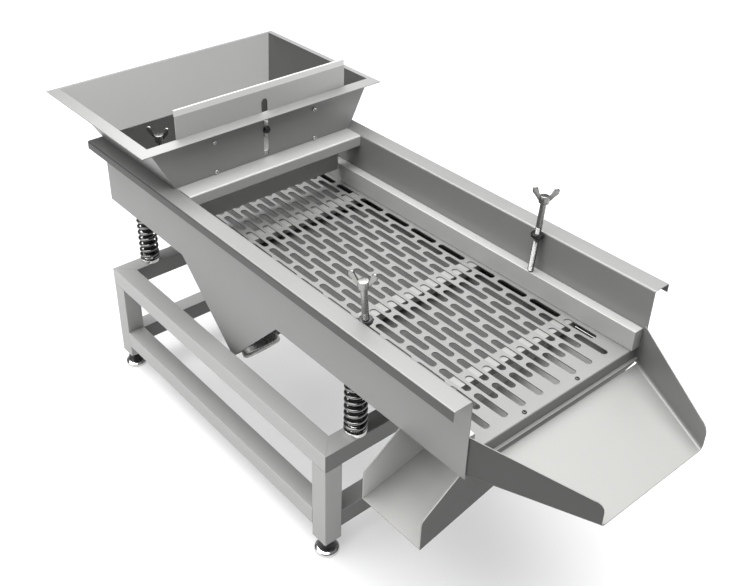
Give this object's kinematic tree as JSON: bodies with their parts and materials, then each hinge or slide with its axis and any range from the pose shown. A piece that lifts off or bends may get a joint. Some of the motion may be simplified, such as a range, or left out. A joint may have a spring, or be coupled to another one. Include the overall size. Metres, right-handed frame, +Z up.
{
  "type": "vibrating sieve",
  "caption": "Sprung stainless sieve trough on a tube frame, with a feed hopper and gate, a slotted screen plate, an end chute for oversize and a cross chute for fines.",
  "frame": {"origin": "on the floor, under the middle of the machine's outer box", "axes": "+X towards the outlet chute, +Y towards the right side of the machine (away from the fines outlet), +Z up"},
  "size_m": [1.402, 0.603, 0.7303],
  "materials": {
    "satin_tube": "satin-ground stainless square tube",
    "satin_sheet": "satin stainless sheet",
    "bright_sheet": "bright satin stainless sheet",
    "turned_steel": "turned and zinc-bright steel",
    "spring_steel": "polished round spring wire",
    "cast_housing": "grey-painted cast housing",
    "rotor_steel": "plain rotor steel"
  },
  "bodies": {
    "base": {"upper_rail_left": "satin_tube", "upper_rail_right": "satin_tube", "upper_rail_front": "satin_tube", "upper_rail_rear": "satin_tube", "lower_rail_left": "satin_tube", "lower_rail_right": "satin_tube", "lower_rail_front": "satin_tube", "lower_rail_rear": "satin_tube", "leg_front_left": "satin_tube", "leg_front_right": "satin_tube", "leg_rear_left": "satin_tube", "leg_rear_right": "satin_tube", "spring_seat_lower_front_left": "turned_steel", "spring_seat_lower_front_right": "turned_steel", "spring_seat_lower_rear_left": "turned_steel", "spring_seat_lower_rear_right": "turned_steel", "spring_front_left": "spring_steel", "spring_front_right": "spring_steel", "spring_rear_left": "spring_steel", "spring_rear_right": "spring_steel"},
    "trough": {"side_wall_left": "satin_sheet", "side_wall_right": "satin_sheet", "trough_pan": "satin_sheet", "fines_chute": "bright_sheet", "main_chute": "bright_sheet", "screen_plate": "bright_sheet", "screen_bar_rear": "satin_sheet", "screen_bar_middle": "satin_sheet", "screen_bar_front": "satin_sheet", "clamp_rail_left": "bright_sheet", "clamp_rail_right": "bright_sheet", "hopper_sill": "bright_sheet", "hopper": "bright_sheet", "motor_plate": "satin_sheet", "spring_seat_upper_front_left": "turned_steel", "spring_seat_upper_front_right": "turned_steel", "spring_seat_upper_rear_left": "turned_steel", "spring_seat_upper_rear_right": "turned_steel", "guide_screw_left_upper": "turned_steel", "guide_screw_left_lower": "turned_steel", "guide_screw_right_upper": "turned_steel", "guide_screw_right_lower": "turned_steel", "motor_housing_left": "cast_housing", "motor_housing_right": "cast_housing", "motor_cover_left_lower": "turned_steel", "motor_cover_left_upper": "turned_steel", "motor_cover_right_lower": "turned_steel", "motor_cover_right_upper": "turned_steel"},
    "gate": {"gate": "bright_sheet"},
    "gate_clamp": {"gate_clamp_bolt": "turned_steel"},
    "wing_bolt_front_left": {"wing_bolt_front_left": "turned_steel"},
    "wing_bolt_front_right": {"wing_bolt_front_right": "turned_steel"},
    "wing_bolt_rear_left": {"wing_bolt_rear_left": "turned_steel"},
    "wing_bolt_rear_right": {"wing_bolt_rear_right": "turned_steel"},
    "rotor_left": {"motor_rotor_left": "rotor_steel"},
    "rotor_right": {"motor_rotor_right": "rotor_steel"},
    "foot_front_left": {"levelling_foot_front_left": "turned_steel"},
    "foot_front_right": {"levelling_foot_front_right": "turned_steel"},
    "foot_rear_left": {"levelling_foot_rear_left": "turned_steel"},
    "foot_rear_right": {"levelling_foot_rear_right": "turned_steel"}
  },
  "joints": [
    {"name": "trough_vibration", "type": "slide", "parent": "base", "child": "trough", "axis": [0.6818, 0, 0.7315], "range_m": [-0.003, 0.003], "stiffness_N_per_m": 54000, "springref_m": 0.00654, "deforming": ["spring_front_left", "spring_front_right", "spring_rear_left", "spring_rear_right"]},
    {"name": "gate_slide", "type": "slide", "parent": "trough", "child": "gate", "axis": [0, 0, 1], "range_m": [-0.024, 0.045]},
    {"name": "gate_clamp_turn", "type": "hinge", "parent": "trough", "child": "gate_clamp", "pos_m": [-0.3093, 0, 0.6298], "axis": [1, 0, 0], "continuous": true},
    {"name": "wing_bolt_front_left_turn", "type": "hinge", "parent": "trough", "child": "wing_bolt_front_left", "pos_m": [0.2585, -0.21175, 0.566], "axis": [0, -0.0872, 0.9962], "continuous": true},
    {"name": "wing_bolt_front_right_turn", "type": "hinge", "parent": "trough", "child": "wing_bolt_front_right", "pos_m": [0.2585, 0.21175, 0.566], "axis": [0, 0.0872, 0.9962], "continuous": true},
    {"name": "wing_bolt_rear_left_turn", "type": "hinge", "parent": "trough", "child": "wing_bolt_rear_left", "pos_m": [-0.364, -0.21175, 0.566], "axis": [0, -0.0872, 0.9962], "continuous": true},
    {"name": "wing_bolt_rear_right_turn", "type": "hinge", "parent": "trough", "child": "wing_bolt_rear_right", "pos_m": [-0.364, 0.21175, 0.566], "axis": [0, 0.0872, 0.9962], "continuous": true},
    {"name": "rotor_left_spin", "type": "hinge", "parent": "trough", "child": "rotor_left", "pos_m": [-0.10482, -0.17775, 0.27822], "axis": [-0.7315, 0, 0.6818], "continuous": true},
    {"name": "rotor_right_spin", "type": "hinge", "parent": "trough", "child": "rotor_right", "pos_m": [-0.10482, 0.17775, 0.27822], "axis": [-0.7315, 0, 0.6818], "continuous": true},
    {"name": "foot_front_left_turn", "type": "hinge", "parent": "base", "child": "foot_front_left", "pos_m": [0.211, -0.25375, 0], "axis": [0, 0, 1], "continuous": true},
    {"name": "foot_front_right_turn", "type": "hinge", "parent": "base", "child": "foot_front_right", "pos_m": [0.211, 0.25375, 0], "axis": [0, 0, 1], "continuous": true},
    {"name": "foot_rear_left_turn", "type": "hinge", "parent": "base", "child": "foot_rear_left", "pos_m": [-0.528, -0.25375, 0], "axis": [0, 0, 1], "continuous": true},
    {"name": "foot_rear_right_turn", "type": "hinge", "parent": "base", "child": "foot_rear_right", "pos_m": [-0.528, 0.25375, 0], "axis": [0, 0, 1], "continuous": true}
  ],
  "couplings": [
    {"joint": "rotor_right_spin", "follows": "rotor_left_spin", "ratio": -1}
  ]
}
